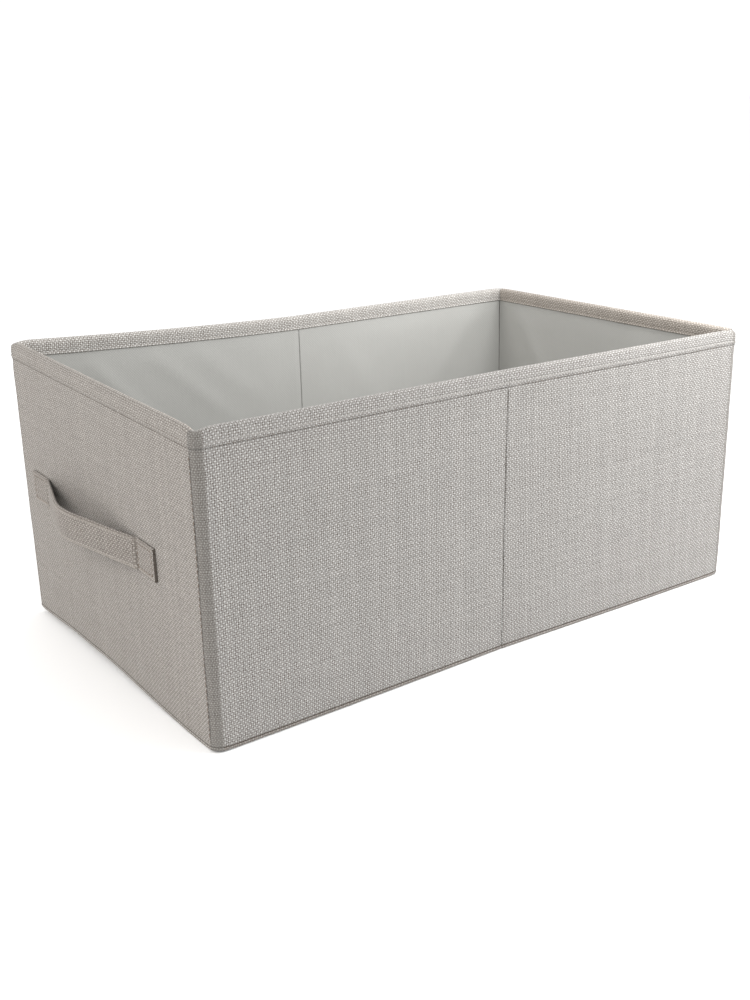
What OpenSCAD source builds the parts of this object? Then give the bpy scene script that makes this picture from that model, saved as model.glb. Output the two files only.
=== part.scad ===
// Collapsible fabric storage bin: six stiffened walls sewn together at the corners
// and at a crease in the middle of each long side, with a soft folding bottom and
// a cloth carrying strap on each end. Millimetres, +Z up, long side along X,
// origin in the middle of the underside.

/* [Bin] */
// Outer length, along X
bin_l = 500; // [400:10:560]
// Outer width, along Y
bin_w = 300; // [270:10:340]
// Outer height
bin_h = 220; // [170:5:280]

/* [Cloth and boards] */
// Thickness of the outer cloth
cover_t = 1.2; // [0.8:0.1:1.6]
// Thickness of the stiffening board in each wall
board_t = 2.4; // [1.6:0.2:3]
// Thickness of the lining
lining_t = 0.8; // [0.5:0.1:1]
// Height of the outer cloth that is turned over the rim
hem_h = 12.5; // [10:0.5:20]
// Room between neighbouring walls at a sewn fold
fold_gap = 0.6; // [0.4:0.1:1]

/* [Handles] */
// Width of the strap, from its lower to its upper edge
strap_w = 24; // [18:1:32]
// Thickness of the strap, which is cloth folded double
strap_t = 2.2; // [1.6:0.2:3]
// Height of the strap's middle above the floor
strap_z = 112; // [90:1:130]
// How far the strap bows out from the wall at its highest point
strap_bow = 19; // [16:0.5:26]
// Length of each end of the strap that is sewn flat to the wall
strap_end = 27; // [20:1:34]
// Length of the strap's free stretch, measured along the wall
strap_free = 154; // [140:2:170]

/* [Stitches] */
// Length of one stitch of the rim seam
stitch_len = 3.4; // [2.5:0.1:4]
// Distance from one stitch to the next
stitch_pitch = 5.4; // [5:0.2:8]

/* [Hidden] */

// A wall from its outer face inward: cover, board, lining, and the turned hem at the rim
hem_t = 1.0;
wall_t = cover_t + board_t + lining_t + hem_t;
half_l = bin_l / 2;
half_w = bin_w / 2;
// A half of a long wall starts beside the end wall and stops short of the crease
half_wall_l = half_l - wall_t - fold_gap / 2 - fold_gap / 2;
// The lining and the board stop under the turned rim
inner_top = bin_h - cover_t;

// Stitches lie on the cloth, a thread's thickness proud of it
thread_t = 0.5;
thread_h = 0.8;
stitch_z = bin_h - hem_h;

// Bottom panels: cloth below, lining above, cut along the diagonals of the floor
bottom_cloth_t = 1.2;
bottom_lining_t = 0.8;
floor_l = half_l - wall_t - fold_gap / 2;
floor_w = half_w - wall_t - fold_gap / 2;
// How far an end panel stays inside the walls at its corners, and its point from the middle
end_panel_inset = 2;
point_gap = 2;
// How far a side panel's point stays from the middle
side_point_room = 1;

// The strap's highest point sits nearer to the back of the bin than its middle does
strap_mid_y = 20;
strap_peak_y = 28;
strap_lo = strap_mid_y - strap_free / 2;
strap_hi = strap_mid_y + strap_free / 2;
// Sharpness of the bend at the strap's highest point: 0 is a sharp fold
bend_round = 0.25;
// Offset from the wall at which the swinging stretch of the strap begins
grip_from = 5;
// Room between the swinging stretch and the sewn ends
grip_gap = 0.5;
strap_steps = 24;
// Distance of the sewn box from the edges of the strap's end
box_inset = 3;

// Offset of the strap's inner face from the wall at a place y along the wall
function side_span(y) = y > strap_peak_y ? strap_hi - strap_peak_y : strap_peak_y - strap_lo;
function bend(t) = (sqrt(t * t + bend_round * bend_round) - bend_round)
  / (sqrt(1 + bend_round * bend_round) - bend_round);
function bow(y) = strap_bow * (1 - bend(abs(y - strap_peak_y) / side_span(y)));
// The place, between a and b, where the strap stands grip_from off the wall
function rise_t() = let (b = (1 - grip_from / strap_bow) * (sqrt(1 + bend_round * bend_round)
  - bend_round) + bend_round) sqrt(b * b - bend_round * bend_round);
grip_lo = strap_peak_y - rise_t() * side_span(strap_lo);
grip_hi = strap_peak_y + rise_t() * side_span(strap_hi);

outer_cloth = "#c9c3ba";
board_grey = "#a39a8c";
lining_cloth = "#c3c3b9";
thread_colour = "#9d8f80";

// ---- one wall in its own place: length along X, outer face at Y = 0, inward +Y ----

module wall_cover(len) {
  color(outer_cloth) union() {
    cube([len, cover_t, bin_h]);
    translate([0, 0, bin_h - cover_t]) cube([len, wall_t, cover_t]);
    translate([0, wall_t - hem_t, bin_h - hem_h]) cube([len, hem_t, hem_h]);
  }
}

module wall_board(len) {
  edge_room = 2;
  color(board_grey) translate([edge_room, cover_t, edge_room])
    cube([len - 2 * edge_room, board_t, inner_top - 2 * edge_room]);
}

module wall_lining(len) {
  color(lining_cloth) translate([0, cover_t + board_t, 0]) cube([len, lining_t, inner_top]);
}

module wall_rim_stitches(len) {
  count = floor((len - stitch_len) / stitch_pitch);
  start = (len - count * stitch_pitch - stitch_len) / 2;
  color(thread_colour) for (i = [0 : count])
    translate([start + i * stitch_pitch, -thread_t, stitch_z])
      cube([stitch_len, thread_t, thread_h]);
}

// ---- where the walls stand ----

module at_left_end() translate([-half_l, half_w, 0]) rotate([0, 0, -90]) children();
module at_right_end() mirror([1, 0, 0]) at_left_end() children();
module at_front_left() translate([-half_l + wall_t + fold_gap / 2, -half_w, 0]) children();
module at_front_right() mirror([1, 0, 0]) at_front_left() children();
module at_back_left() mirror([0, 1, 0]) at_front_left() children();
module at_back_right() mirror([0, 1, 0]) at_front_right() children();

module left_end_cover() at_left_end() wall_cover(bin_w);
module left_end_board() at_left_end() wall_board(bin_w);
module left_end_lining() at_left_end() wall_lining(bin_w);
module left_end_rim_stitches() at_left_end() wall_rim_stitches(bin_w);
module right_end_cover() at_right_end() wall_cover(bin_w);
module right_end_board() at_right_end() wall_board(bin_w);
module right_end_lining() at_right_end() wall_lining(bin_w);
module right_end_rim_stitches() at_right_end() wall_rim_stitches(bin_w);
module front_left_cover() at_front_left() wall_cover(half_wall_l);
module front_left_board() at_front_left() wall_board(half_wall_l);
module front_left_lining() at_front_left() wall_lining(half_wall_l);
module front_left_rim_stitches() at_front_left() wall_rim_stitches(half_wall_l);
module front_right_cover() at_front_right() wall_cover(half_wall_l);
module front_right_board() at_front_right() wall_board(half_wall_l);
module front_right_lining() at_front_right() wall_lining(half_wall_l);
module front_right_rim_stitches() at_front_right() wall_rim_stitches(half_wall_l);
module back_left_cover() at_back_left() wall_cover(half_wall_l);
module back_left_board() at_back_left() wall_board(half_wall_l);
module back_left_lining() at_back_left() wall_lining(half_wall_l);
module back_left_rim_stitches() at_back_left() wall_rim_stitches(half_wall_l);
module back_right_cover() at_back_right() wall_cover(half_wall_l);
module back_right_board() at_back_right() wall_board(half_wall_l);
module back_right_lining() at_back_right() wall_lining(half_wall_l);
module back_right_rim_stitches() at_back_right() wall_rim_stitches(half_wall_l);

// ---- the bottom: two end triangles and four side triangles ----

module end_panel(thick) {
  linear_extrude(thick) polygon([
    [-floor_l, -floor_w + end_panel_inset],
    [-point_gap, 0],
    [-floor_l, floor_w - end_panel_inset]
  ]);
}

// The triangle between a half of the front wall, the crease line and the diagonal
module side_panel(thick) {
  linear_extrude(thick) polygon([
    [-floor_l + fold_gap, -floor_w],
    [-fold_gap / 2, -floor_w],
    [-fold_gap / 2, -side_point_room]
  ]);
}

module cloth_layer() color(outer_cloth) children();
module lining_layer() color(lining_cloth) translate([0, 0, bottom_cloth_t]) children();

module bottom_cloth_left() cloth_layer() end_panel(bottom_cloth_t);
module bottom_lining_left() lining_layer() end_panel(bottom_lining_t);
module bottom_cloth_right() mirror([1, 0, 0]) bottom_cloth_left();
module bottom_lining_right() mirror([1, 0, 0]) bottom_lining_left();
module bottom_cloth_front_left() cloth_layer() side_panel(bottom_cloth_t);
module bottom_lining_front_left() lining_layer() side_panel(bottom_lining_t);
module bottom_cloth_front_right() mirror([1, 0, 0]) bottom_cloth_front_left();
module bottom_lining_front_right() mirror([1, 0, 0]) bottom_lining_front_left();
module bottom_cloth_back_left() mirror([0, 1, 0]) bottom_cloth_front_left();
module bottom_lining_back_left() mirror([0, 1, 0]) bottom_lining_front_left();
module bottom_cloth_back_right() mirror([0, 1, 0]) bottom_cloth_front_right();
module bottom_lining_back_right() mirror([0, 1, 0]) bottom_lining_front_right();

// ---- the carrying straps ----

// A stretch of the bowed strap from y = a to y = b, as a band standing off the left wall
module strap_stretch(a, b) {
  ys = [for (i = [0 : strap_steps]) a + (b - a) * i / strap_steps];
  inner = [for (y = ys) [-half_l - bow(y), y]];
  outer = [for (i = [strap_steps : -1 : 0]) [-half_l - bow(ys[i]) - strap_t, ys[i]]];
  translate([0, 0, strap_z - strap_w / 2]) linear_extrude(strap_w) polygon(concat(inner, outer));
}

// The flat end of the strap, sewn to the wall
module strap_patch(a, b) {
  translate([-half_l - strap_t, a, strap_z - strap_w / 2]) cube([strap_t, b - a, strap_w]);
}

// A box of thread on one flat end of the strap
module strap_box(a, b) {
  lo_z = strap_z - strap_w / 2 + box_inset;
  hi_z = strap_z + strap_w / 2 - box_inset;
  translate([-half_l - strap_t - thread_t, 0, 0]) difference() {
    translate([0, a, lo_z]) cube([thread_t, b - a, hi_z - lo_z]);
    translate([-1, a + thread_h, lo_z + thread_h])
      cube([thread_t + 2, b - a - 2 * thread_h, hi_z - lo_z - 2 * thread_h]);
  }
}

module left_strap_grip() {
  color(outer_cloth) strap_stretch(grip_lo, grip_hi);
}
module left_strap_front_end() {
  color(outer_cloth) union() {
    strap_patch(strap_lo - strap_end, strap_lo);
    strap_stretch(strap_lo, grip_lo - grip_gap);
  }
}
module left_strap_back_end() {
  color(outer_cloth) union() {
    strap_patch(strap_hi, strap_hi + strap_end);
    strap_stretch(grip_hi + grip_gap, strap_hi);
  }
}
module left_strap_stitches() {
  color(thread_colour) {
    strap_box(strap_lo - strap_end + box_inset, strap_lo - box_inset / 2);
    strap_box(strap_hi + box_inset / 2, strap_hi + strap_end - box_inset);
  }
}
module right_strap_grip() mirror([1, 0, 0]) left_strap_grip();
module right_strap_front_end() mirror([1, 0, 0]) left_strap_front_end();
module right_strap_back_end() mirror([1, 0, 0]) left_strap_back_end();
module right_strap_stitches() mirror([1, 0, 0]) left_strap_stitches();

left_end_cover();
left_end_board();
left_end_lining();
left_end_rim_stitches();
right_end_cover();
right_end_board();
right_end_lining();
right_end_rim_stitches();
front_left_cover();
front_left_board();
front_left_lining();
front_left_rim_stitches();
front_right_cover();
front_right_board();
front_right_lining();
front_right_rim_stitches();
back_left_cover();
back_left_board();
back_left_lining();
back_left_rim_stitches();
back_right_cover();
back_right_board();
back_right_lining();
back_right_rim_stitches();
bottom_cloth_left();
bottom_lining_left();
bottom_cloth_right();
bottom_lining_right();
bottom_cloth_front_left();
bottom_lining_front_left();
bottom_cloth_front_right();
bottom_lining_front_right();
bottom_cloth_back_left();
bottom_lining_back_left();
bottom_cloth_back_right();
bottom_lining_back_right();
left_strap_grip();
left_strap_front_end();
left_strap_back_end();
left_strap_stitches();
right_strap_grip();
right_strap_front_end();
right_strap_back_end();
right_strap_stitches();
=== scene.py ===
import math

import bmesh
import bpy
from mathutils import Matrix, Vector, noise


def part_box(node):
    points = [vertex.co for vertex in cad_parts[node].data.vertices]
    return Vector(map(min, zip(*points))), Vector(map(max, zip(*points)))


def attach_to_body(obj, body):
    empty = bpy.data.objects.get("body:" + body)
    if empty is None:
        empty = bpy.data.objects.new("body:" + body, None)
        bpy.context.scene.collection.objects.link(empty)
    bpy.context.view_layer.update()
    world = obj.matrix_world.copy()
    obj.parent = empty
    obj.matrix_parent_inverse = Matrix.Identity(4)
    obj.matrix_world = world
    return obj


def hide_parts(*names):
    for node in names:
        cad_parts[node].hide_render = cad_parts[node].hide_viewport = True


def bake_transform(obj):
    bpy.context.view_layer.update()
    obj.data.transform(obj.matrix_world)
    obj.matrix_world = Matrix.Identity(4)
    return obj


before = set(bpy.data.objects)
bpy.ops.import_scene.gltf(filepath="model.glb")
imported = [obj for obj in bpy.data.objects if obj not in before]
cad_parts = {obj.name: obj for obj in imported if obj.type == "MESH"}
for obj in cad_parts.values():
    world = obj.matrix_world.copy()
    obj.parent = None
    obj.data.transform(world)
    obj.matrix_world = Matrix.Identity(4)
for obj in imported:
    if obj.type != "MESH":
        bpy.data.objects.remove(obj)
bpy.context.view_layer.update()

# ---- sizes taken from the frame, in metres ----
END_LO, END_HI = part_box("left_end_cover")
FRONT_LO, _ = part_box("front_left_cover")
STRAP_LO, STRAP_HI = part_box("left_strap_grip")
FRONT_TAB_LO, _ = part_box("left_strap_front_end")
_, BACK_TAB_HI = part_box("left_strap_back_end")
HALF_L = -END_LO[0]
HALF_W = -FRONT_LO[1]
HEIGHT = END_HI[2]
WALL_T = END_HI[0] - END_LO[0]

# ---- how the cloth is made up ----
MM = 0.001
COVER_T = 1.2 * MM
BOARD_T = 2.4 * MM
LINING_T = 0.8 * MM
FLOOR_GAP = 0.3 * MM       # how far the bottom reaches past the turned hem's face
HEM_H = 12.5 * MM
STITCH_Z = HEIGHT - HEM_H
INNER_STITCH_Z = HEIGHT - 9.2 * MM   # the seam shows higher on the inside
CORNER_R = 6.4 * MM
CREASE_IN = 4.2 * MM       # how far the creases stand in from the straight line of the wall
CREASE_FADE = 1.4          # how quickly that bow dies away toward the corners
CREASE_HALF = 6.0 * MM     # half the width of the strip that bends at a crease
CREASE_LEAN = 4.6 * MM     # how far the crease leans to the right at the top
STITCH_PITCH = 4.6 * MM
STITCH_LEN = 3.3 * MM
THREAD_R = 0.28 * MM
HEM_EDGE = 3.6 * MM        # the puffed lower stretch of the hem
STATION = 2.2 * MM         # spacing of the cross-sections along a wall
YARN = 1.6 * MM            # pitch of the outer cloth's yarns
LINING_YARN = 1.1 * MM     # pitch of the lining's weave


# =====================================================================
# materials
# =====================================================================

class Tree:
    """A short way to write shader nodes: each call makes one node and returns its output."""

    def __init__(self, name):
        self.material = bpy.data.materials.new(name)
        self.material.use_nodes = True
        self.nodes = self.material.node_tree.nodes
        self.links = self.material.node_tree.links
        self.shader = self.nodes["Principled BSDF"]

    def put(self, socket, value):
        if isinstance(value, bpy.types.NodeSocket):
            self.links.new(value, socket)
        else:
            socket.default_value = value

    def calc(self, operation, *values):
        node = self.nodes.new("ShaderNodeMath")
        node.operation = operation
        for socket, value in zip(node.inputs, values):
            self.put(socket, value)
        return node.outputs[0]

    def step(self, value, low, high):
        """Rises smoothly from 0 at low to 1 at high."""
        node = self.nodes.new("ShaderNodeMapRange")
        node.interpolation_type = "SMOOTHSTEP"
        for socket, v in zip(node.inputs, (value, low, high, 0.0, 1.0)):
            self.put(socket, v)
        return node.outputs[0]

    def mix(self, factor, a, b, blend="MIX"):
        node = self.nodes.new("ShaderNodeMix")
        node.data_type = "RGBA"
        node.blend_type = blend
        self.put(node.inputs["Factor"], factor)
        self.put(node.inputs[6], a)
        self.put(node.inputs[7], b)
        return node.outputs[2]

    def noise(self, vector, scale, detail=2.0, rough=0.5):
        node = self.nodes.new("ShaderNodeTexNoise")
        self.put(node.inputs["Vector"], vector)
        node.inputs["Scale"].default_value = scale
        node.inputs["Detail"].default_value = detail
        node.inputs["Roughness"].default_value = rough
        return node.outputs["Fac"]

    def random(self, value):
        node = self.nodes.new("ShaderNodeTexWhiteNoise")
        node.noise_dimensions = "1D"
        self.put(node.inputs["W"], value)
        return node.outputs["Value"]

    def join(self, x, y, z=0.0):
        node = self.nodes.new("ShaderNodeCombineXYZ")
        for socket, v in zip(node.inputs, (x, y, z)):
            self.put(socket, v)
        return node.outputs[0]

    def cloth_uv(self):
        """The place on the cloth, in metres: along the bin's outline, and up the cloth."""
        uv = self.nodes.new("ShaderNodeUVMap")
        uv.uv_map = "cloth"
        split = self.nodes.new("ShaderNodeSeparateXYZ")
        self.links.new(uv.outputs[0], split.inputs[0])
        return uv.outputs[0], split.outputs[0], split.outputs[1]

    def weave(self, a, b, rate):
        """Over and under: the product of a sine along and a sine up the cloth."""
        return self.calc("MULTIPLY", self.calc("SINE", self.calc("MULTIPLY", a, rate)),
                         self.calc("SINE", self.calc("MULTIPLY", b, rate)))

    def around(self, value, amount):
        """A 0 to 1 value turned into a swing of half the amount each side of zero."""
        return self.calc("MULTIPLY", self.calc("SUBTRACT", value, 0.5), amount)

    def darken(self, colour, shade):
        return self.mix(1.0, colour, self.join(shade, shade, shade), "MULTIPLY")

    def bump(self, height, distance, strength):
        node = self.nodes.new("ShaderNodeBump")
        node.inputs["Distance"].default_value = distance
        node.inputs["Strength"].default_value = strength
        self.put(node.inputs["Height"], height)
        return node.outputs[0]


def grey(value):
    return (value, value, value, 1.0)


def tinted(colour, tint):
    return tuple(c * t for c, t in zip(colour, tint)) + (1.0,)


def outer_cloth(name, tint, pitch=YARN, squeeze=1.0, contrast=1.0):
    """Coarse linen-look weave: light knots in a quincunx, duller yarns between, dark gaps and slubs."""
    t = Tree(name)
    uv, u, v = t.cloth_uv()
    # the yarns wander a little
    wander_u = t.around(t.noise(uv, 260, 1), pitch * 0.8)
    wander_v = t.around(t.noise(t.join(v, u), 240, 1), pitch * 0.8)
    a = t.calc("DIVIDE", t.calc("ADD", u, wander_u), pitch * squeeze)
    b = t.calc("DIVIDE", t.calc("ADD", v, wander_v), pitch)
    wave = t.weave(a, b, math.pi)
    # each crossing has its own weight, so knots differ in size and brightness
    upright = t.random(t.calc("FLOOR", a))
    level = t.random(t.calc("ADD", t.calc("FLOOR", b), 7000.0))
    patch = t.noise(uv, 420, 2)
    knot_edge = t.calc("ADD", 0.12, t.around(patch, 0.5))
    knot = t.step(wave, knot_edge, t.calc("ADD", knot_edge, 0.62))
    warp = t.step(t.calc("MULTIPLY", wave, -1.0), 0.05, 0.9)
    colour = t.mix(warp, tinted(GAP, tint), tinted(WARP, tint))
    colour = t.mix(t.calc("MULTIPLY", knot, contrast), colour, tinted(KNOT, tint))
    # slubby yarns: some upright and level yarns are lighter or duller along a stretch
    streak_u = t.noise(t.join(t.calc("MULTIPLY", u, 18.0), v), 40, 2)
    streak_v = t.noise(t.join(u, t.calc("MULTIPLY", v, 18.0)), 40, 2)
    slub = t.around(upright, 0.10)
    for value, amount in ((level, 0.08), (streak_u, 0.34), (streak_v, 0.26)):
        slub = t.calc("ADD", slub, t.around(value, amount))
    colour = t.darken(colour, t.calc("ADD", 1.0, slub))
    # brown flecks between the knots
    gap_u = t.calc("ABSOLUTE", t.calc("COSINE", t.calc("MULTIPLY", a, math.pi)))
    gap_v = t.calc("ABSOLUTE", t.calc("COSINE", t.calc("MULTIPLY", b, math.pi)))
    gap = t.step(t.calc("MULTIPLY", t.calc("POWER", gap_u, 2.0), gap_v), 0.36, 0.78)
    crowd = t.around(streak_u, 0.7)
    speckle = t.step(t.calc("ADD", t.noise(uv, 620, 1), crowd), 0.45, 0.56)
    colour = t.mix(t.calc("MULTIPLY", t.calc("MULTIPLY", speckle, gap), 0.9 * contrast), colour,
                   tinted(FLECK, tint))
    t.put(t.shader.inputs["Base Color"], colour)
    height = t.calc("MAXIMUM", knot, t.calc("MULTIPLY", warp, 0.72))
    fuzz = t.noise(uv, 2600, 2)
    height = t.calc("ADD", height, t.calc("MULTIPLY", fuzz, 0.25))
    t.put(t.shader.inputs["Normal"], t.bump(height, 0.45 * MM, 0.65))
    t.shader.inputs["Roughness"].default_value = 0.92
    t.shader.inputs["Specular IOR Level"].default_value = 0.25
    t.shader.inputs["Sheen Weight"].default_value = 0.12
    t.shader.inputs["Sheen Roughness"].default_value = 0.6
    return t.material


def lining_cloth(name, colour_a, colour_b):
    """Smooth fine plain weave, pale grey green."""
    t = Tree(name)
    uv, u, v = t.cloth_uv()
    wave = t.weave(u, v, math.pi / LINING_YARN)
    broad = t.noise(uv, 14, 3)
    colour = t.mix(broad, colour_a + (1.0,), colour_b + (1.0,))
    thread = t.calc("ADD", 0.97, t.calc("MULTIPLY", wave, 0.07))
    streak = t.noise(t.join(t.calc("MULTIPLY", u, 30.0), v), 30, 2)
    colour = t.darken(colour, t.calc("ADD", thread, t.around(streak, 0.05)))
    t.put(t.shader.inputs["Base Color"], colour)
    t.put(t.shader.inputs["Normal"], t.bump(wave, 0.06 * MM, 0.5))
    t.shader.inputs["Roughness"].default_value = 0.85
    t.shader.inputs["Specular IOR Level"].default_value = 0.3
    t.shader.inputs["Sheen Weight"].default_value = 0.08
    return t.material


def thread_material(name, colour_a, colour_b):
    """Twisted sewing thread."""
    t = Tree(name)
    _, u, v = t.cloth_uv()
    ply = t.calc("SINE", t.calc("MULTIPLY", t.calc("ADD", u, t.calc("MULTIPLY", v, 0.6)), 9000.0))
    colour = t.mix(t.step(ply, -1.0, 1.0), colour_a + (1.0,), colour_b + (1.0,))
    t.put(t.shader.inputs["Base Color"], colour)
    t.put(t.shader.inputs["Normal"], t.bump(ply, 0.08 * MM, 0.7))
    t.shader.inputs["Roughness"].default_value = 0.7
    return t.material


def board_material(name):
    """Grey pressed board with fibres."""
    t = Tree(name)
    _, u, v = t.cloth_uv()
    fibre = t.noise(t.join(t.calc("MULTIPLY", u, 6.0), v), 220, 4, 0.7)
    colour = t.mix(fibre, (0.36, 0.32, 0.26, 1.0), (0.55, 0.50, 0.42, 1.0))
    t.put(t.shader.inputs["Base Color"], colour)
    t.put(t.shader.inputs["Normal"], t.bump(fibre, 0.1 * MM, 0.4))
    t.shader.inputs["Roughness"].default_value = 0.9
    return t.material


def floor_material():
    t = Tree("studio_floor")
    place = t.nodes.new("ShaderNodeTexCoord").outputs["Object"]
    t.put(t.shader.inputs["Base Color"], t.mix(t.noise(place, 3, 2), grey(0.955), grey(0.965)))
    t.shader.inputs["Roughness"].default_value = 0.8
    t.shader.inputs["Specular IOR Level"].default_value = 0.1
    return t.material


# linear colours of the outer cloth's yarns
KNOT = (0.428, 0.421, 0.410)
WARP = (0.255, 0.247, 0.236)
GAP = (0.200, 0.189, 0.175)
FLECK = (0.048, 0.030, 0.021)

CLOTH = outer_cloth("outer_cloth", (1.0, 1.0, 1.0))
# the end walls' copy of the same cloth, tinted warmer and a little darker: painted warm light
CLOTH_END_PAINTED_WARM_LIGHT = outer_cloth("outer_cloth_end", (1.0, 0.962, 0.925))
# the corners' copy, with a squeezed weave, tinted darker: painted shade on the rounded corner
CLOTH_CORNER_PAINTED_SHADE = outer_cloth("outer_cloth_corner", (0.75, 0.735, 0.715), squeeze=0.62, contrast=0.75)
# the strap's copy of the same cloth, tinted darker: painted shade on the bowed strap; its stronger weave
# contrast is the cloth's pattern
CLOTH_STRAP_PAINTED_SHADE = outer_cloth("strap_cloth", (0.87, 0.82, 0.775), contrast=1.2)
# a lighter copy on the strap's turned edges: painted highlight
CLOTH_STRAP_EDGE_PAINTED_HIGHLIGHT = outer_cloth("strap_cloth_edge_painted_highlight", (1.12, 1.06, 1.0), YARN * 0.8, contrast=0.7)
# a darker copy for the strap's folded ends and the seams across it: painted shadow at the fold and painted
# shade in the seam
CLOTH_FOLD_PAINTED_SHADE = outer_cloth("strap_cloth_fold_painted_shade", (0.62, 0.57, 0.52), YARN * 0.7)
# the turned flap inside the rim, tinted much lighter: painted light where the flap is strongly lit
CLOTH_FLAP_PAINTED_LIGHT = outer_cloth("outer_cloth_flap", (1.5, 1.495, 1.485))
# the end walls' flap, tinted lighter and warmer: painted warm light
CLOTH_FLAP_END_PAINTED_LIGHT = outer_cloth("outer_cloth_flap_end", (1.30, 1.22, 1.14))
# the strip just above the hem's stitch line: a denser weave of the cloth's own, tinted lighter as a painted
# highlight on the puffed ridge
CLOTH_HEM_EDGE_PAINTED_HIGHLIGHT = outer_cloth("outer_cloth_hem_edge", (1.14, 1.13, 1.12), YARN * 0.8, squeeze=0.7,
                         contrast=0.6)
# the cloth rounding under at the lower edge, tinted darker: painted shade
CLOTH_LIP_PAINTED_SHADE = outer_cloth("outer_cloth_lower_edge", (0.80, 0.77, 0.74), contrast=0.8)
# the groove near the lower edge, tinted dark brown: painted shade in the groove
CLOTH_GROOVE_PAINTED_SHADE = outer_cloth("outer_cloth_lower_seam", (0.42, 0.36, 0.31), contrast=0.6)
LINING = lining_cloth("lining_cloth", (0.365, 0.363, 0.345), (0.400, 0.398, 0.380))
# the lining's narrow strip at each inside corner and crease, tinted dark: painted shade in the seam's fold
LINING_SEAM_PAINTED_SHADE = lining_cloth("lining_seam", (0.13, 0.125, 0.115), (0.19, 0.185, 0.17))
THREAD = thread_material("sewing_thread", (0.13, 0.095, 0.072), (0.24, 0.185, 0.145))
BOARD = board_material("pressed_board")


# =====================================================================
# the outline of the walls, and strips of cloth that follow it
# =====================================================================

CX, CY = HALF_L - CORNER_R, HALF_W - CORNER_R    # the corners' centres


def line_of(a, b):
    a, b = Vector(a), Vector(b)
    return lambda t: a.lerp(b, t), (b - a).length


def arc_of(centre, start_deg):
    def at(t):
        a = math.radians(start_deg + 90 * t)
        return Vector((centre[0] + CORNER_R * math.cos(a), centre[1] + CORNER_R * math.sin(a)))
    return at, CORNER_R * math.pi / 2


def crease_dip(share):
    """How far in a long wall stands, by its share of the way from the crease to the corner."""
    return CREASE_IN * (1 - share) ** CREASE_FADE


def crease_of(sign):
    """The short stretch across a crease; sign is -1 at the front and 1 at the back."""
    def at(t):
        x = (2 * t - 1) * CREASE_HALF
        return Vector((-sign * x, sign * (HALF_W - crease_dip(abs(x) / CX))))
    return at, 2 * CREASE_HALF


def half_wall(sign_x, sign_y):
    """A half of a long wall, from its corner to the crease strip, cut from the same curve."""
    def at(t):
        x = CREASE_HALF + (CX - CREASE_HALF) * t
        return Vector((sign_x * x, sign_y * (HALF_W - crease_dip(x / CX))))
    return at, CX - CREASE_HALF


def backwards(curve):
    at, length = curve
    return lambda t: at(1 - t), length


# Round the bin, counter-clockwise from above: each stretch's name, then its curve and length
OUTLINE = [
    ("left_end", line_of((-HALF_L, CY), (-HALF_L, -CY))),
    ("corner_front_left", arc_of((-CX, -CY), 180)),
    ("front_left", backwards(half_wall(-1, -1))),
    ("crease_front", crease_of(-1)),
    ("front_right", half_wall(1, -1)),
    ("corner_front_right", arc_of((CX, -CY), 270)),
    ("right_end", line_of((HALF_L, -CY), (HALF_L, CY))),
    ("corner_back_right", arc_of((CX, CY), 0)),
    ("back_right", backwards(half_wall(1, 1))),
    ("crease_back", crease_of(1)),
    ("back_left", half_wall(-1, 1)),
    ("corner_back_left", arc_of((-CX, CY), 90)),
]
WALLS = ("left_end", "front_left", "front_right", "right_end", "back_right", "back_left")
CORNER_STATIONS = [0, 0.06, 0.12, 0.22, 0.34, 0.46, 0.5, 0.54, 0.66, 0.78, 0.88, 0.94, 1]
CREASE_STATIONS = [i / 30 for i in range(31)]


def stations(name, length):
    if name.startswith("corner"):
        return CORNER_STATIONS
    if name.startswith("crease"):
        return CREASE_STATIONS
    count = max(2, round(length / STATION))
    return [i / count for i in range(count + 1)]


def inward_at(at, t):
    """The direction into the bin, square to the outline."""
    step = 1e-4
    way = (at(min(1, t + step)) - at(max(0, t - step))).normalized()
    return Vector((-way.y, way.x))


def frames_of(name, curve):
    """Cross-section frames along one stretch: place, inward direction, share along."""
    at, length = curve
    out = []
    for t in stations(name, length):
        if name.startswith("crease") and abs(t - 0.5) < 1e-6:
            inward = Vector((0, -1 if "back" in name else 1))
        else:
            inward = inward_at(at, t)
        out.append((at(t), inward, t))
    return out


STARTS = {}
RUN = 0.0
for piece_name, piece_curve in OUTLINE:
    STARTS[piece_name] = RUN
    RUN += piece_curve[1]


def arc_points(d, z, r, first_deg, last_deg, count, zone):
    out = []
    for i in range(count + 1):
        a = math.radians(first_deg + (last_deg - first_deg) * i / count)
        out.append((d + r * math.cos(a), z + r * math.sin(a), zone))
    return out


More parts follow.
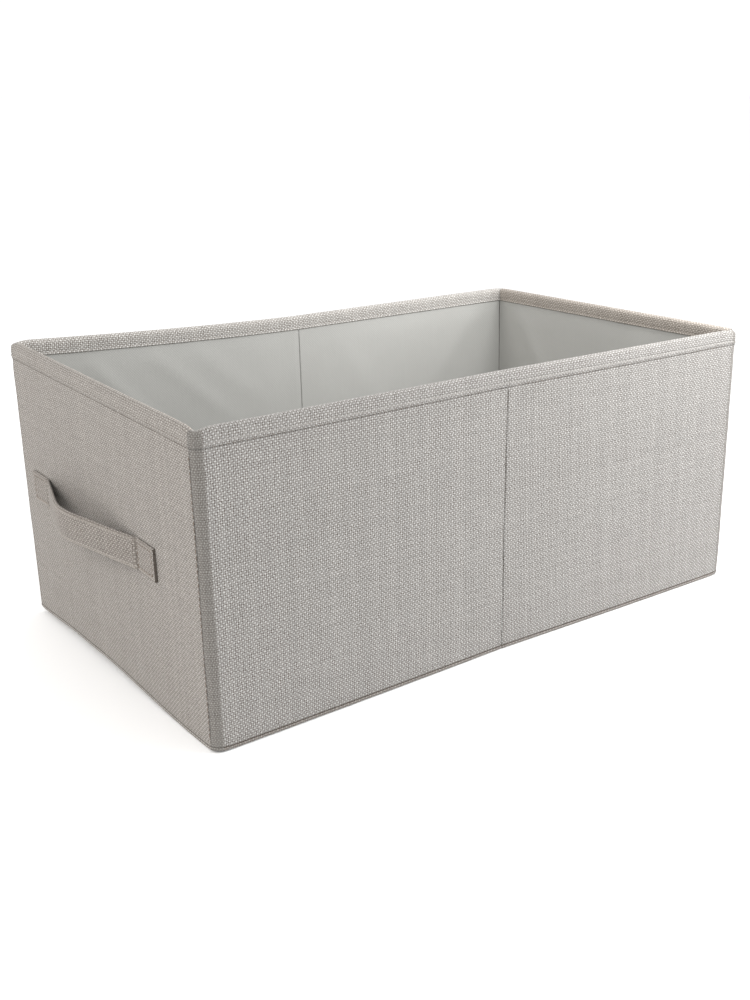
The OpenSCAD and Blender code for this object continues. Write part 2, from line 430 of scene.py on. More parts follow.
def cover_profile():
    """The outer cloth's cross-section as a closed loop of (depth inward, height, zone)."""
    lip_r = 0.9 * MM
    groove_z = 2.7 * MM
    rim_r = (WALL_T + 0.6 * MM) / 2
    rim_z = HEIGHT - rim_r
    loop = arc_points(lip_r, lip_r, lip_r, 270, 180, 4, "lip")
    loop += [(0, 1.7 * MM, "lip"), (0.1 * MM, 2.3 * MM, "groove"), (0.7 * MM, groove_z, "groove"),
             (0.1 * MM, 3.2 * MM, "face"), (0, 4.5 * MM, "face")]
    low, high, count = 7.5 * MM, STITCH_Z - 3.2 * MM, 34
    loop += [(0, low + (high - low) * i / count, "face") for i in range(count + 1)]
    dips = ((-1.8, 0.0), (-0.9, 0.05), (-0.4, 0.3), (-0.1, 0.85), (0.2, 0.6), (0.45, -0.35), (1.7, -0.6))
    loop += [(d * MM, STITCH_Z + z * MM, "stitch_line" if d > 0.1 else "seam") for z, d in dips]
    hem = ((2.6, -0.7), (3.3, -0.45), (3.7, -0.2), (4.3, -0.5), (5.8, -0.55), (7.3, -0.45), (8.6, -0.35))
    loop += [(d * MM, STITCH_Z + z * MM, "hem") for z, d in hem]
    loop += arc_points(rim_r - 0.3 * MM, rim_z, rim_r, 180, 90, 5, "rim")[:-1]
    loop += arc_points(rim_r - 0.3 * MM, rim_z, rim_r, 90, 0, 5, "flap")
    loop += [(WALL_T + 0.4 * MM, STITCH_Z + 7 * MM, "flap"), (WALL_T + 0.3 * MM, STITCH_Z + 5 * MM, "flap")]
    loop += [(WALL_T - 0.45 * d * MM, INNER_STITCH_Z + z * MM, "flap") for z, d in dips[-2::-1]]
    loop += arc_points(WALL_T - 0.35 * MM, INNER_STITCH_Z - 2.6 * MM, 0.5 * MM, 0, -180, 5, "flap")
    back = WALL_T - 1.0 * MM
    loop += [(back, STITCH_Z + 2 * MM, "back"), (back, STITCH_Z + 7 * MM, "back"),
             (back - 0.9 * MM, HEIGHT - 1.9 * MM, "back"), (COVER_T + 0.9 * MM, HEIGHT - 1.9 * MM, "back"),
             (COVER_T, STITCH_Z + 7 * MM, "back"), (COVER_T + 0.6 * MM, STITCH_Z, "back")]
    loop += [(COVER_T, HEIGHT * k / 8, "back") for k in range(7, 0, -1)]
    loop += [(lip_r + 0.5 * MM, 3 * MM, "back"), (lip_r + 0.5 * MM, 0.4 * MM, "back")]
    return loop


def lining_profile():
    """The lining's cross-section: it runs up behind the turned hem."""
    face = COVER_T + BOARD_T + LINING_T
    low, high, count = 0.9 * MM, STITCH_Z - 2.0 * MM, 34
    loop = [(face, low + (high - low) * i / count, "lining") for i in range(count + 1)]
    loop += [(face - 0.2 * MM, STITCH_Z + 4 * MM, "back"), (face - 0.2 * MM, HEIGHT - 2.6 * MM, "back"),
             (face - LINING_T, HEIGHT - 2.6 * MM, "back")]
    loop += [(face - LINING_T, low + (high - low) * k / 8, "back") for k in range(8, -1, -1)]
    return loop


def board_profile():
    near, far = COVER_T + 0.15 * MM, COVER_T + BOARD_T - 0.15 * MM
    low, high = 3 * MM, HEIGHT - 4 * MM
    return [(near, low, "back"), (near, high / 2, "back"), (near, high, "back"),
            (far, high, "back"), (far, high / 2, "back"), (far, low, "back")]


def bell(x, width):
    return math.exp(-(x / width) ** 2)


def ease(x, low, high):
    t = min(1.0, max(0.0, (x - low) / (high - low)))
    return t * t * (3 - 2 * t)


def soft_noise(point, size, seed=0.0):
    return noise.noise(Vector((point.x, point.y, point.z)) / size + Vector((seed, seed * 0.7, -seed)))


def crease_at(name, z):
    """Where along a crease strip (0 to 1) its line runs: it leans to the right toward the top."""
    lean = CREASE_LEAN * (z / HEIGHT) ** 1.3 / (2 * CREASE_HALF)
    return 0.5 + lean if name == "crease_front" else 0.5 - CREASE_LEAN / (2 * CREASE_HALF)


def seam_dip(name, t, z):
    """How far the outer cloth is drawn in by the crease, or by the seam beside a corner."""
    if z > STITCH_Z - 0.6 * MM:
        return 0.0
    fade = ease(STITCH_Z - z, 0.5 * MM, 2.5 * MM)
    if name.startswith("crease"):
        return 0.9 * MM * bell((t - crease_at(name, z)) * 2 * CREASE_HALF, 0.42 * MM) * fade
    if name.startswith("corner"):
        ends = {"corner_front_left": 0.06, "corner_back_right": 0.06}
        at = ends.get(name, 0.94)
        return 0.7 * MM * bell((t - at) * CORNER_R * math.pi / 2, 0.5 * MM) * fade
    return 0.0


def corner_distance(name, t, length):
    """Distance round the outline to the middle of the nearest corner."""
    half_arc = CORNER_R * math.pi / 4
    if name.startswith("corner"):
        return abs(t - 0.5) * length
    if name.startswith("crease"):
        return 1.0
    start = 1.0 if name in ("front_right", "back_left") else t * length + half_arc
    end = 1.0 if name in ("front_left", "back_right") else (1 - t) * length + half_arc
    return min(start, end)


def settle(p):
    """Soft walls aren't quite square: the back left corner stands up and out, so does the foot of
    the left end, and the front right corner leans out."""
    up = max(0.0, p.z) / HEIGHT
    left, right = max(0.0, -p.x / HALF_L), max(0.0, p.x / HALF_L)
    back, front = 0.5 + 0.5 * p.y / HALF_W, 0.5 - 0.5 * p.y / HALF_W
    out_x = (3.0 + 4.0 * up) * MM * right ** 5 * front
    out_y = 6.0 * MM * left ** 3 * max(0.0, back) ** 6
    foot = 6.0 * MM * (1 - up) ** 2 * left ** 4 * ease(back, 0.1, 0.6) * (1 - 0.35 * ease(back, 0.75, 1.0))
    return Vector((p.x + out_x, p.y + out_y, p.z + 8.0 * MM * up * left ** 1.5 * back + foot))


def corner_rise(name, t, length, z, lifts):
    """The rim sinks a little at each corner, and the outer cloth's lower edge lifts: it rounds off."""
    distance = corner_distance(name, t, length)
    deep = 0.5 * MM if name in ("corner_back_right", "back_right", "right_end") else 1.9 * MM
    sink = deep * bell(distance, 8.0 * MM) * ease(z, STITCH_Z - 4 * MM, HEIGHT)
    lift = 1.2 * MM * bell(distance, 7.0 * MM) * (1 - ease(z, 0, 16 * MM)) if lifts else 0.0
    return lift - sink


def cover_shift(name, zone, point, s, t, length):
    """Inward movement of a point of the outer cloth: slack, puffed hem, drawn-in seams."""
    pucker = math.cos(2 * math.pi * s / STITCH_PITCH)
    if zone == "face":
        calm = ease(point.z, 5 * MM, 20 * MM) * ease(STITCH_Z - point.z, 1 * MM, 9 * MM)
        slack = 0.75 * MM * soft_noise(point, 75 * MM) + 0.22 * MM * soft_noise(point, 19 * MM, 3.0)
        below_hem = 0.10 * MM * pucker * bell(STITCH_Z - point.z, 5 * MM)
        return slack * calm + below_hem + seam_dip(name, t, point.z)
    if zone == "hem" and point.z < STITCH_Z + HEM_EDGE:
        return 0.38 * MM * soft_noise(point, 4.5 * MM, 7.0) + 0.2 * MM * soft_noise(point, 24 * MM, 5.0)
    if zone in ("hem", "rim"):
        return 0.35 * MM * soft_noise(point, 24 * MM, 5.0) - 0.10 * MM * pucker * (zone == "hem")
    if zone in ("seam", "stitch_line"):
        flat = 0.6 * MM if zone == "stitch_line" else 0.0     # the groove runs out at the corners
        at_corner = flat * bell(corner_distance(name, t, length), 6 * MM)
        return 0.12 * MM * pucker + 0.2 * MM * soft_noise(point, 30 * MM, 2.0) - at_corner
    if zone == "flap":
        return 0.30 * MM * soft_noise(point, 26 * MM, 9.0)
    if zone in ("lip", "groove"):
        return 0.25 * MM * soft_noise(point, 30 * MM, 4.0) + 0.5 * seam_dip(name, t, point.z)
    return 0.0


# Drag folds in the lining: wall, where along it and how high each end is (0 to 1), height, width
DRAG_FOLDS = [
    ("back_left", (0.96, 0.88), (0.48, 0.30), 1.7, 7.0),
    ("back_left", (0.80, 0.93), (0.36, 0.42), 1.3, 6.0),
    ("back_left", (0.99, 0.62), (0.64, 0.16), 1.4, 8.0),
    ("back_left", (0.60, 0.95), (0.22, 0.60), 0.9, 7.0),
    ("back_left", (0.40, 0.92), (0.10, 0.66), 0.7, 9.0),
    ("back_right", (0.12, 0.93), (0.42, 0.55), 0.9, 10.0),
    ("back_right", (0.85, 0.90), (0.60, 0.52), 0.7, 12.0),
    ("right_end", (0.92, 0.94), (0.70, 0.50), 1.0, 10.0),
    ("right_end", (0.30, 0.92), (0.55, 0.45), 0.8, 11.0),
    ("front_left", (0.10, 0.90), (0.50, 0.40), 1.0, 10.0),
    ("front_right", (0.90, 0.90), (0.45, 0.45), 1.1, 10.0),
    ("left_end", (0.10, 0.92), (0.45, 0.40), 1.1, 9.0),
    ("left_end", (0.90, 0.88), (0.62, 0.35), 0.9, 10.0),
]


def drag(name, along, up, length):
    """Height of the lining's folds at a place on a wall, in metres."""
    total = 0.0
    for wall, a, b, tall, wide in DRAG_FOLDS:
        if wall != name:
            continue
        p = Vector(((along - a[0]) * length, (up - a[1]) * HEIGHT))
        way = Vector(((b[0] - a[0]) * length, (b[1] - a[1]) * HEIGHT))
        reach = way.length
        way.normalize()
        share = p.dot(way) / reach
        across = abs(p.x * way.y - p.y * way.x)
        fade = ease(share, -0.12, 0.25) * (1 - ease(share, 0.55, 1.15))
        total += tall * MM * fade * bell(across, wide * MM)
    return total


def lining_shift(name, zone, point, t, length):
    if zone != "lining":
        return 0.0
    calm = ease(point.z, 4 * MM, 16 * MM) * ease(STITCH_Z - point.z, 2 * MM, 12 * MM)
    if name.startswith("corner"):
        return -0.9 * MM * bell((t - 0.5) * CORNER_R * math.pi / 2, 0.7 * MM)
    if name.startswith("crease"):
        return -1.0 * MM * bell((t - crease_at(name, point.z)) * 2 * CREASE_HALF, 0.5 * MM)
    edge = ease(t * length, 0, 26 * MM) * ease((1 - t) * length, 0, 26 * MM)
    loose = 0.5 * MM + 0.7 * MM * soft_noise(point, 70 * MM, 11.0)
    return calm * edge * (loose + drag(name, t, point.z / HEIGHT, length))


def mesh_object(name, verts, faces, materials, uvs=None, sharp_deg=50):
    mesh = bpy.data.meshes.new(name)
    mesh.from_pydata([tuple(v) for v in verts], [], faces)
    layer = mesh.uv_layers.new(name="cloth")
    if uvs is not None:
        for loop, corner in zip(mesh.loops, uvs):
            layer.data[loop.index].uv = corner
    for material in materials:
        mesh.materials.append(material)
    for polygon in mesh.polygons:
        polygon.use_smooth = True
    mesh.set_sharp_from_angle(angle=math.radians(sharp_deg))
    obj = bpy.data.objects.new(name, mesh)
    bpy.context.scene.collection.objects.link(obj)
    return obj


def strip(name, curve, profile, shift, materials, pick=None):
    """A closed strip: the profile swept along one stretch of the outline, with its ends closed."""
    key = name.split("__")[0]
    frames = frames_of(key, curve)
    length = curve[1]
    count = len(profile)
    up = [0.0]
    for a, b in zip(profile, profile[1:] + profile[:1]):
        up.append(up[-1] + math.hypot(a[0] - b[0], a[1] - b[1]))
    verts, around = [], []
    for place, inward, t in frames:
        s = STARTS[key] + t * length
        around.append(s)
        for depth, z, zone in profile:
            base = Vector((place.x, place.y, z)) + Vector((inward.x, inward.y, 0)) * depth
            move = shift(zone, base, s, t)
            rise = corner_rise(key, t, length, z, "outer_cloth" in name)
            verts.append(settle(base + Vector((inward.x * move, inward.y * move, rise))))
    faces, uvs, slots = [], [], []
    for i in range(len(frames) - 1):
        for j in range(count):
            k = (j + 1) % count
            faces.append((i * count + j, (i + 1) * count + j, (i + 1) * count + k, i * count + k))
            uvs += [(around[i], up[j]), (around[i + 1], up[j]), (around[i + 1], up[j + 1]),
                    (around[i], up[j + 1])]
            slots.append(pick(profile[j][2], profile[j][1], frames[i][2]) if pick else 0)
    last = (len(frames) - 1) * count
    faces.append(tuple(range(count)))
    faces.append(tuple(last + j for j in reversed(range(count))))
    uvs += [(around[0], up[j]) for j in range(count)]
    uvs += [(around[-1], up[j]) for j in reversed(range(count))]
    slots += [0, 0]
    obj = mesh_object(name.replace("__", "_"), verts, faces, materials, uvs)
    obj.data.polygons.foreach_set("material_index", slots)
    return obj


def profile_length(profile, zones):
    """The cloth's length along the zones of a profile that are its outer side."""
    total = 0.0
    for a, b in zip(profile, profile[1:]):
        if a[2] in zones and b[2] in zones:
            total += math.hypot(a[0] - b[0], a[1] - b[1])
    return total


COVER = cover_profile()
COVER_HEIGHT = profile_length(COVER, ("lip", "groove", "face", "seam", "stitch_line", "hem", "rim", "flap"))
LINING_PROFILE = lining_profile()


def attach(obj, name):
    """Rides a strip with its wall; the back right corner rides the right end, and the other corner and
    crease strips stay fixed in place.
    """
    bends = {
        "corner_front_left": ("left_end", "front_left"),
        "corner_front_right": ("front_right", "right_end"),
        "corner_back_left": ("left_end", "back_left"),
        "crease_front": ("front_left", "front_right"),
        "crease_back": ("back_left", "back_right"),
    }
    if name in bends:
        at = dict(OUTLINE)[name][0]
        first, last = at(0), at(1)
        if name in ("corner_back_left", "crease_back"):
            first, last = last, first
        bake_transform(obj)
    elif name == "corner_back_right":
        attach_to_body(obj, "right_end")
    else:
        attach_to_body(obj, name)


def build_walls():
    for name, curve in OUTLINE:
        end_wall = name in ("left_end", "right_end")
        # cloth copies by slot: the flap ones carry painted light, the end walls' own one painted warm
        # light, the corner, lip and groove ones painted shade, the hem edge one a painted highlight
        if name.startswith("corner"):
            cloths = [CLOTH_CORNER_PAINTED_SHADE, CLOTH_FLAP_PAINTED_LIGHT] + [CLOTH_CORNER_PAINTED_SHADE] * 3
        elif end_wall:
            cloths = [CLOTH_END_PAINTED_WARM_LIGHT, CLOTH_FLAP_END_PAINTED_LIGHT, CLOTH_END_PAINTED_WARM_LIGHT, CLOTH_LIP_PAINTED_SHADE, CLOTH_END_PAINTED_WARM_LIGHT]
        else:
            cloths = [CLOTH, CLOTH_FLAP_PAINTED_LIGHT, CLOTH_LIP_PAINTED_SHADE, CLOTH_GROOVE_PAINTED_SHADE, CLOTH_HEM_EDGE_PAINTED_HIGHLIGHT]

        def cover_move(zone, point, s, t, name=name, length=curve[1]):
            return cover_shift(name, zone, point, s, t, length)

        def lining_move(zone, point, _, t, name=name, length=curve[1]):
            return lining_shift(name, zone, point, t, length)

        def seam_shade_slot(zone, z, t, name=name):
            # the narrow lining strip at each corner and crease gets the dark lining copy: painted shade
            middle = crease_at(name, z) if name.startswith("crease") else 0.5
            narrow = name.startswith(("corner", "crease")) and abs(t - middle) < 0.045
            return 1 if narrow and zone == "lining" else 0

        def cover_slot(zone, z, _):
            # slot 4 is the painted highlight above the hem's stitch line, 1 the flap's painted light, 2 and
            # 3 painted shade at the lip and groove
            if zone in ("stitch_line", "hem") and 0.4 * MM < z - STITCH_Z < 3.0 * MM:
                return 4
            return {"flap": 1, "lip": 2, "groove": 3}.get(zone, 0)

        cover = strip(name + "__outer_cloth", curve, COVER, cover_move, cloths, cover_slot)
        lining = strip(name + "__inner_lining", curve, LINING_PROFILE, lining_move,
                       [LINING, LINING_SEAM_PAINTED_SHADE], seam_shade_slot)
        attach(cover, name)
        attach(lining, name)
        inner_r = CORNER_R - COVER_T - BOARD_T - LINING_T / 2
        width = inner_r * math.pi / 2 if name.startswith("corner") else curve[1]
        max(width, 10 * MM)
        if name in WALLS:
            board = strip(name + "__stiff_board", curve, board_profile(), lambda *a: 0.0, [BOARD])
            attach(board, name)
            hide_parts(name + "_cover")
            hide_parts(name + "_lining")
            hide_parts(name + "_board")


# =====================================================================
# stitches
# =====================================================================

def add_stitch(verts, faces, start, end, out, radius=THREAD_R, bow=0.12 * MM):
    """One stitch: a short thread that dips into the cloth at both ends."""
    start, end, out = Vector(start), Vector(end), Vector(out).normalized()
    way = (end - start).normalized()
    side = way.cross(out).normalized()
    rings, sides = 6, 6
    base = len(verts)
    for i in range(rings + 1):
        t = i / rings
        fat = radius * (0.35 + 0.65 * math.sin(math.pi * min(1, max(0, t))) ** 0.5)
        middle = settle(start.lerp(end, t) + out * (bow * math.sin(math.pi * t) - 0.15 * MM))
        for k in range(sides):
            a = 2 * math.pi * k / sides
            verts.append(middle + side * (fat * math.cos(a)) + out * (fat * math.sin(a)))
    for i in range(rings):
        for k in range(sides):
            m = (k + 1) % sides
            faces.append((base + i * sides + k, base + i * sides + m,
                          base + (i + 1) * sides + m, base + (i + 1) * sides + k))
    faces.append(tuple(base + k for k in reversed(range(sides))))
    faces.append(tuple(base + rings * sides + k for k in range(sides)))


def thread_object(name, verts, faces):
    uvs = []
    for face in faces:
        uvs += [(verts[i].x + verts[i].y, verts[i].z) for i in face]
    return mesh_object(name, verts, faces, [THREAD], uvs, sharp_deg=80)


def place_on(curve, t, depth, z):
    """A point at a depth inside the outline, and the outward direction there."""
    inward = inward_at(curve[0], t).to_3d()
    p = curve[0](t)
    return Vector((p.x, p.y, z)) + inward * depth, -inward


def rim_stitches():
    """Rows of stitches that hold the turned hem, outside and inside."""
    for name, curve in OUTLINE:
        if name not in WALLS:
            continue
        verts, faces = [], []
        length = curve[1]
        count = int((length - 9 * MM) / STITCH_PITCH)
        first = (length - (count - 1) * STITCH_PITCH) / 2
        for i in range(count):
            a = (first + i * STITCH_PITCH - STITCH_LEN / 2) / length
            b = (first + i * STITCH_PITCH + STITCH_LEN / 2) / length
            for depth, z, sign in ((0.75 * MM, STITCH_Z, 1), (WALL_T - 0.5 * MM, INNER_STITCH_Z, -1)):
                p, out = place_on(curve, a, depth, z)
                q, _ = place_on(curve, b, depth, z)
                add_stitch(verts, faces, p, q, out * sign)
        if name in ("left_end", "right_end"):
            for share in (0.0006, 0.9994):
                z = 10 * MM
                while z < STITCH_Z - 8 * MM:
                    p, out = place_on(curve, share, -0.15 * MM, z)
                    add_stitch(verts, faces, p, p + Vector((0, 0, STITCH_LEN)), out)
                    z += STITCH_PITCH
        obj = thread_object(name + "_rim_stitch_rows", verts, faces)
        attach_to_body(obj, name)
        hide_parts(name + "_rim_stitches")


def crease_stitches():
    """The upright seam down each crease, outside and inside."""
    for name, curve in OUTLINE:
        if not name.startswith("crease"):
            continue
        verts, faces = [], []
        z = 9 * MM
        while z < STITCH_Z - 4 * MM:
            for depth, sign in ((0.95 * MM, 1), (WALL_T - 2.0 * MM, -1)):
                p, out = place_on(curve, crease_at(name, z), depth, z)
                q, _ = place_on(curve, crease_at(name, z + STITCH_LEN), depth, z + STITCH_LEN)
                add_stitch(verts, faces, p, q, out * sign, 0.2 * MM)
            z += STITCH_PITCH
        obj = thread_object(name + "_stitches", verts, faces)
        attach(obj, name)


# =====================================================================
# the bottom
# =====================================================================

def crease_pull(p):
    """How far a point of the bottom is drawn inward, so its edge follows the wall to the crease."""
    share = min(1.0, abs(p.x) / CX)
    wall_y = HALF_W - WALL_T + FLOOR_GAP
    diagonal = wall_y * share
    if abs(p.y) <= diagonal or share >= 1:
        return 0.0
    at_wall = crease_dip(share) + 4.5 * MM * bell(p.x, 8 * MM)
    return at_wall * (abs(p.y) - diagonal) / (wall_y - diagonal)


def panel(name, key, corners, z, thick, material, swell=0.0):
    """A thin triangular panel of cloth with a soft surface, in rows from its first corner."""
    rows = 26
    a, b, c = (Vector(p) for p in corners)
    index, verts = {}, []
    for layer in (0, 1):
        for i in range(rows + 1):
            for j in range(i + 1):
                p = a + (b - a) * (i / rows) + (c - b) * (j / rows)
                if key.startswith(("front", "back")):
                    p.y -= math.copysign(crease_pull(p), p.y)
                edge = min(1 - i / rows, j / rows, (i - j) / rows)
                rise = swell * soft_noise(Vector((p.x, p.y, 0)), 45 * MM, 2.0) * ease(edge, 0, 0.12)
                lift = (z + thick + abs(rise)) if layer else z
                index[layer, i, j] = len(verts)
                verts.append(settle(Vector((p.x, p.y, lift))))
    faces = []
    for i in range(rows):
        for j in range(i + 1):
            for layer in (0, 1):
                low = (index[layer, i, j], index[layer, i + 1, j], index[layer, i + 1, j + 1])
                faces.append(low if layer else low[::-1])
                if j < i:
                    low = (index[layer, i, j], index[layer, i + 1, j + 1], index[layer, i, j + 1])
                    faces.append(low if layer else low[::-1])
    rim = [(i, 0) for i in range(rows)] + [(rows, j) for j in range(rows)]
    rim += [(i, i) for i in range(rows, 0, -1)]
    for (i, j), (k, m) in zip(rim, rim[1:] + rim[:1]):
        faces.append((index[0, i, j], index[0, k, m], index[1, k, m], index[1, i, j]))
    if ((b - a).cross(c - a)).z < 0:
        faces = [f[::-1] for f in faces]
    uvs = []
    for face in faces:
        uvs += [(verts[i].x, verts[i].y) for i in face]
    return mesh_object(name, verts, faces, [material], uvs, sharp_deg=40)


def build_bottom():
    room = 0.1 * MM
    reach_x, reach_y = HALF_L - WALL_T + FLOOR_GAP, HALF_W - WALL_T + FLOOR_GAP
    parts = {}
    for side, sign in (("left", -1), ("right", 1)):
        parts[side] = [(sign * reach_x, -reach_y + 2 * MM, 0), (sign * room * 4, 0, 0),
                       (sign * reach_x, reach_y - 2 * MM, 0)]
        for face, up in (("front", -1), ("back", 1)):
            parts[f"{face}_{side}"] = [(sign * (reach_x - 0.4 * MM), up * reach_y, 0),
                                       (sign * room, up * reach_y, 0), (sign * room, up * room * 4, 0)]
    for key, corners in parts.items():
        under = panel(f"bottom_{key}_cloth", key, corners, 0.0, COVER_T, CLOTH)
        above = panel(f"bottom_{key}_lining", key, corners, COVER_T, LINING_T, LINING, 1.2 * MM)
        for obj, kind, slot in ((under, "cloth", "outer_cloth"), (above, "lining", "lining")):
            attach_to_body(obj, f"bottom_{key}")
            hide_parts(f"bottom_{kind}_{key}")


# =====================================================================
# the carrying straps
# =====================================================================

STRAP_W = STRAP_HI[2] - STRAP_LO[2]
STRAP_MID_Z = (STRAP_HI[2] + STRAP_LO[2]) / 2
STRAP_T = 2.0 * MM
STRAP_BOW = 19 * MM        # how far the middle stands off the wall
STRAP_END = 27 * MM        # length of each flat sewn end
STRAP_FRONT = FRONT_TAB_LO[1] + STRAP_END   # where the front end's flat part stops
STRAP_BACK = BACK_TAB_HI[1] - STRAP_END
STRAP_PEAK = 28 * MM       # where along the wall the bow is highest
STRAP_BEND = 26 * MM       # length over which the strap bends when its middle swings
BEND_ROUND = 0.25
SEAM_OFF = 0.9 * MM        # from the end of the flat part to the seam across the strap
ACROSS = 12                # faces from the strap's lower to its upper edge


def strap_bow(y):
    """How far the strap's inner face stands off the wall, by the same rule as in the CAD model."""
    if y <= STRAP_FRONT or y >= STRAP_BACK:
        return 0.0
    span = STRAP_BACK - STRAP_PEAK if y > STRAP_PEAK else STRAP_PEAK - STRAP_FRONT
    t = abs(y - STRAP_PEAK) / span
    r = BEND_ROUND
    bend = (math.sqrt(t * t + r * r) - r) / (math.sqrt(1 + r * r) - r)
    return STRAP_BOW * (1 - bend)


def strap_section(y):
    """The strap's cross-section at y: (offset from the wall, height from its middle)."""
    half = STRAP_W / 2
    bow = strap_bow(y)
    cup = 1.1 * MM * ease(bow, 2 * MM, 14 * MM)     # its edges curl back a little
    edge_r = STRAP_T / 2
    flat = half - edge_r
    points = []
    for i in range(ACROSS + 1):
        h = flat * (2 * i / ACROSS - 1)
        rim = 2 * bell(half - abs(h) - 1.4 * MM, 1.0 * MM)
        groove = 0.5 * MM * bell(half - abs(h) - 3.4 * MM, 0.6 * MM)
        curl = cup * (h / half) ** 2
        points.append((STRAP_T + 0.15 * MM * rim - groove - curl, h))
    for k in range(1, 5):
        a = math.radians(90 - 36 * k)
        points.append((edge_r + edge_r * math.sin(a) - cup, flat + edge_r * math.cos(a)))
    for i in range(ACROSS, -1, -1):
        h = flat * (2 * i / ACROSS - 1)
        points.append((0.05 * MM - cup * (h / half) ** 2, h))
    for k in range(1, 5):
        a = math.radians(-90 + 36 * k)
        points.append((edge_r + edge_r * math.sin(a) - cup, -flat - edge_r * math.cos(a)))
    return [(d + bow, h) for d, h in points]


def end_fold(y):
    """1 over the folded end of the strap, 0 away from it."""
    nearest = min(abs(y - BACK_TAB_HI[1]), abs(y - FRONT_TAB_LO[1]))
    return 1 - ease(nearest, 5 * MM, 9 * MM)


def seam_swell(y):
    """The strap swells just before each seam across it, and the seam itself is drawn in."""
    total = 0.0
    for seam, way in ((STRAP_FRONT, 1), (STRAP_BACK, -1)):
        total += 1.3 * MM * bell(y - seam - way * 2.2 * MM, 1.6 * MM)
        total -= 1.3 * MM * bell(y - seam + way * SEAM_OFF, 0.8 * MM)
    return total


def strap_slot(y, j):
    """Which cloth a face of the strap shows: 1 in a seam (painted shade), 2 along its turned edges (painted
    highlight), 0 elsewhere.
    """
    for seam, way in ((STRAP_FRONT, 1), (STRAP_BACK, -1)):
        if abs(y - seam + way * SEAM_OFF) < 0.6 * MM and j < ACROSS:
            return 1
    return 2 if j in (0, ACROSS - 1) else 0


def strap_piece(name, sign, y0, y1):
    """A length of strap from y0 to y1 on the wall at x = sign * HALF_L."""
    count = max(4, round(abs(y1 - y0) / (0.8 * MM)))
    verts, run = [], [0.0]
    ys = [y0 + (y1 - y0) * i / count for i in range(count + 1)]
    for a, b in zip(ys, ys[1:]):
        run.append(run[-1] + math.hypot(b - a, strap_bow(b) - strap_bow(a)))
    sections = [strap_section(y) for y in ys]
    n = len(sections[0])
    outer_end = BACK_TAB_HI[1] if y1 > STRAP_PEAK else FRONT_TAB_LO[1]
    for y, section in zip(ys, sections):
        # the end is folded under, so it is thicker there
        fold = 0.2 * MM * end_fold(y) + seam_swell(y)
        sway = 0.8 * MM * soft_noise(Vector((0, y, 0)), 40 * MM, 8.0)
        for d, h in section:
            p = Vector((sign * HALF_L, y, STRAP_MID_Z + h))
            slack = 0.5 * MM * soft_noise(p, 22 * MM, 6.0) * ease(strap_bow(y), 1 * MM, 8 * MM)
            outward = d + fold * ease(d - strap_bow(y), 0.4 * MM, 1.8 * MM) + slack
            verts.append(settle(Vector((sign * (HALF_L + max(0.05 * MM, outward)), y,
                                        STRAP_MID_Z + h + sway))))
    faces, uvs, slots = [], [], []
    heights = [0.0]
    for a, b in zip(sections[0], sections[0][1:] + sections[0][:1]):
        heights.append(heights[-1] + math.hypot(a[0] - b[0], a[1] - b[1]))
    for i in range(count):
        for j in range(n):
            k = (j + 1) % n
            faces.append((i * n + j, (i + 1) * n + j, (i + 1) * n + k, i * n + k))
            slots.append(strap_slot((ys[i] + ys[i + 1]) / 2, j))
            uvs += [(run[i], heights[j]), (run[i + 1], heights[j]), (run[i + 1], heights[j + 1]),
                    (run[i], heights[j + 1])]
    faces.append(tuple(range(n)))
    faces.append(tuple(count * n + j for j in reversed(range(n))))
    uvs += [(run[0], heights[j]) for j in range(n)] + [(run[-1], heights[j]) for j in reversed(range(n))]
    # the strap's folded outer end shows the darker copy: painted shadow at the fold
    slots += [1, 0] if y0 == outer_end else [0, 1]
    obj = mesh_object(name, verts, faces, [CLOTH_STRAP_PAINTED_SHADE, CLOTH_FOLD_PAINTED_SHADE, CLOTH_STRAP_EDGE_PAINTED_HIGHLIGHT], uvs, sharp_deg=60)
    obj.data.polygons.foreach_set("material_index", slots)
    return obj, run[-1]


def outward_normals(obj):
    """Turns every face of a closed piece outward."""
    work = bmesh.new()
    work.from_mesh(obj.data)
    bmesh.ops.recalc_face_normals(work, faces=work.faces)
    work.to_mesh(obj.data)
    work.free()


def stitch_line(verts, faces, sign, a, b):
    """Stitches on a strap's flat end, from a to b, each (y, height)."""
    a, b = Vector(a), Vector(b)
    length = (b - a).length
    count = max(1, int(length / (3.6 * MM)))
    way = (b - a).normalized()
    for i in range(count):
        p = a + way * (i * length / count)
        q = p + way * (2.6 * MM)
        off = [HALF_L + strap_bow(r.x) + STRAP_T + 0.12 * MM + 0.2 * MM * end_fold(r.x) + seam_swell(r.x)
               for r in (p, q)]
        add_stitch(verts, faces, (sign * off[0], p.x, p.y), (sign * off[1], q.x, q.y), (sign, 0, 0),
                   0.26 * MM)


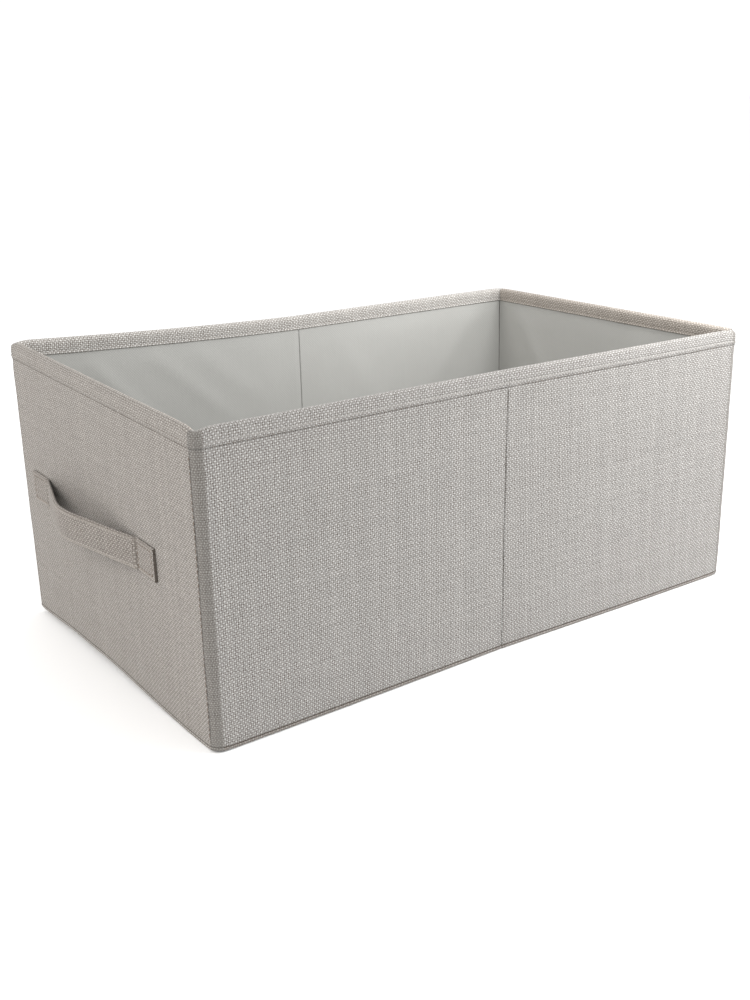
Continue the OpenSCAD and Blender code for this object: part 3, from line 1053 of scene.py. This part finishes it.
def build_strap(side, sign, body):
    halves = (("front", FRONT_TAB_LO[1], STRAP_PEAK, STRAP_FRONT, STRAP_BEND),
              ("back", STRAP_PEAK, BACK_TAB_HI[1], STRAP_BACK, -STRAP_BEND))
    for half, y0, y1, seam, reach in halves:
        obj, length = strap_piece(f"{side}_strap_{half}", sign, y0, y1)
        outward_normals(obj)
        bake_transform(obj)
    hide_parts(f"{side}_strap_front_end", f"{side}_strap_grip")
    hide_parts(f"{side}_strap_back_end")
    verts, faces = [], []
    inset = 3.2 * MM
    low, high = STRAP_MID_Z - STRAP_W / 2 + inset, STRAP_MID_Z + STRAP_W / 2 - inset
    for outer, inner in ((FRONT_TAB_LO[1] + inset, STRAP_FRONT - 0.6 * MM),
                         (BACK_TAB_HI[1] - inset, STRAP_BACK + 0.6 * MM)):
        step = 1.7 * MM if inner > outer else -1.7 * MM
        for z in (low, high):
            stitch_line(verts, faces, sign, (outer, z), (inner, z))
        for y in (outer, inner, inner - step):
            stitch_line(verts, faces, sign, (y, low), (y, high))
    thread = thread_object(f"{side}_strap_stitch_box", verts, faces)
    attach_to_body(thread, body)
    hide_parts(f"{side}_strap_stitches")


# =====================================================================
# studio
# =====================================================================

def build_camera():
    yaw, pitch, roll = math.radians(38.55), math.radians(18.52), math.radians(0.24)
    data = bpy.data.cameras.new("camera")
    data.lens = 44.5
    data.sensor_width = 36.0
    data.shift_x = -0.080
    data.shift_y = -0.0016
    data.clip_start, data.clip_end = 0.05, 50
    obj = bpy.data.objects.new("camera", data)
    look = Vector((math.sin(yaw) * math.cos(pitch), math.cos(yaw) * math.cos(pitch), -math.sin(pitch)))
    turn = look.to_track_quat("-Z", "Y").to_matrix().to_4x4() @ Matrix.Rotation(-roll, 4, "Z")
    obj.matrix_world = Matrix.Translation((-0.5717, -0.8061, 0.4156)) @ turn
    bpy.context.scene.collection.objects.link(obj)
    bpy.context.scene.camera = obj


def area_light(name, place, target, size, power, colour=(1, 1, 1)):
    data = bpy.data.lights.new(name, "AREA")
    data.shape = "RECTANGLE"
    data.size, data.size_y = size
    data.energy = power
    data.color = colour
    obj = bpy.data.objects.new(name, data)
    obj.location = place
    obj.rotation_euler = (Vector(target) - Vector(place)).to_track_quat("-Z", "Y").to_euler()
    bpy.context.scene.collection.objects.link(obj)


def build_studio():
    bpy.ops.mesh.primitive_plane_add(size=120, location=(0, 0, -0.0004))
    floor = bpy.context.object
    floor.name = "studio_floor"
    floor.data.materials.append(floor_material())
    world = bpy.data.worlds.new("studio")
    bpy.context.scene.world = world
    world.use_nodes = True
    background = world.node_tree.nodes["Background"]
    background.inputs[0].default_value = (1.0, 1.0, 1.0, 1.0)
    background.inputs[1].default_value = 1.06
    area_light("key", (0.85, -0.85, 0.5), (0.2, -0.1, 0.1), (0.7, 0.7), 9.1)
    area_light("inside", (0.26, -0.25, 0.5), (0.19, 0.15, 0.15), (0.2, 0.2), 2.1)
    area_light("left", (-1.9, 0.2, 1.5), (-0.2, 0, 0.1), (1.2, 1.2), 22, (1.0, 0.965, 0.925))
    bpy.context.scene.view_settings.view_transform = "Standard"


build_camera()
build_walls()
rim_stitches()
crease_stitches()
build_bottom()
build_strap("left", -1, "left_end")
build_strap("right", 1, "right_end")
build_studio()
